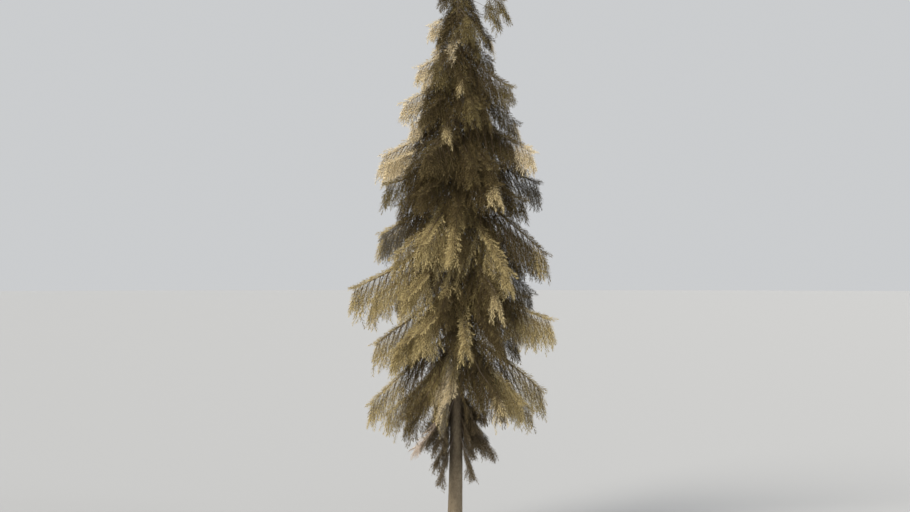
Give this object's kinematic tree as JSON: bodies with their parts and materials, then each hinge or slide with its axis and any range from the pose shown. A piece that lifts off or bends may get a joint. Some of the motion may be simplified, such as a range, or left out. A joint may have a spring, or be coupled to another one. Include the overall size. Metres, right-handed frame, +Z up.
{
  "type": "spruce tree",
  "caption": "Slender spruce with a straight tapering trunk, whorls of drooping boughs hung with needle sprays, dry lower boughs and a bare foot.",
  "frame": {"origin": "middle of the flat cut under the trunk, at ground level", "axes": "+Z up the trunk; seen as in the picture, +X points right and +Y away from the viewer"},
  "size_m": [4.2412, 3.5769, 12.2],
  "materials": {
    "bark": "rough scaly grey-brown bark",
    "dead_wood": "dry weathered grey-brown wood, bleached in places",
    "needles_upper": "dark olive-brown needles",
    "needles_lower": "khaki to straw needles"
  },
  "bodies": {
    "root": {"trunk": "bark", "limb_4_right": "bark", "limb_4_back": "bark", "limb_4_left": "bark", "limb_4_front": "bark", "limb_3_right": "bark", "limb_3_back": "bark", "limb_3_left": "bark", "limb_3_front": "bark", "limb_2_right": "bark", "limb_2_back": "bark", "limb_2_left": "bark", "limb_2_front": "bark", "limb_1_right": "bark", "limb_1_back": "bark", "limb_1_left": "bark", "limb_1_front": "bark", "dead_bough_left": "dead_wood", "dead_bough_right": "dead_wood", "dead_bough_front": "dead_wood", "leader_foliage": "needles_upper", "foliage_10_right": "needles_upper", "foliage_10_back": "needles_upper", "foliage_10_left": "needles_upper", "foliage_9_right": "needles_upper", "foliage_9_back": "needles_upper", "foliage_9_left": "needles_upper", "foliage_9_front": "needles_upper", "foliage_8_right": "needles_upper", "foliage_8_back": "needles_upper", "foliage_8_left": "needles_upper", "foliage_8_front": "needles_upper", "foliage_7_right": "needles_upper", "foliage_7_back": "needles_upper", "foliage_7_left": "needles_upper", "foliage_7_front": "needles_upper", "foliage_6_right": "needles_upper", "foliage_6_back": "needles_upper", "foliage_6_left": "needles_upper", "foliage_6_front": "needles_upper", "foliage_5_right": "needles_upper", "foliage_5_back": "needles_upper", "foliage_5_left": "needles_upper", "foliage_5_front": "needles_upper", "foliage_4_right": "needles_lower", "foliage_4_back": "needles_lower", "foliage_4_left": "needles_lower", "foliage_4_front": "needles_lower", "foliage_3_right": "needles_lower", "foliage_3_back": "needles_lower", "foliage_3_left": "needles_lower", "foliage_3_front": "needles_lower", "foliage_2_right": "needles_lower", "foliage_2_back": "needles_lower", "foliage_2_left": "needles_lower", "foliage_2_front": "needles_lower", "foliage_1_right": "needles_lower", "foliage_1_back": "needles_lower", "foliage_1_left": "needles_lower", "foliage_1_front": "needles_lower"}
  },
  "joints": []
}
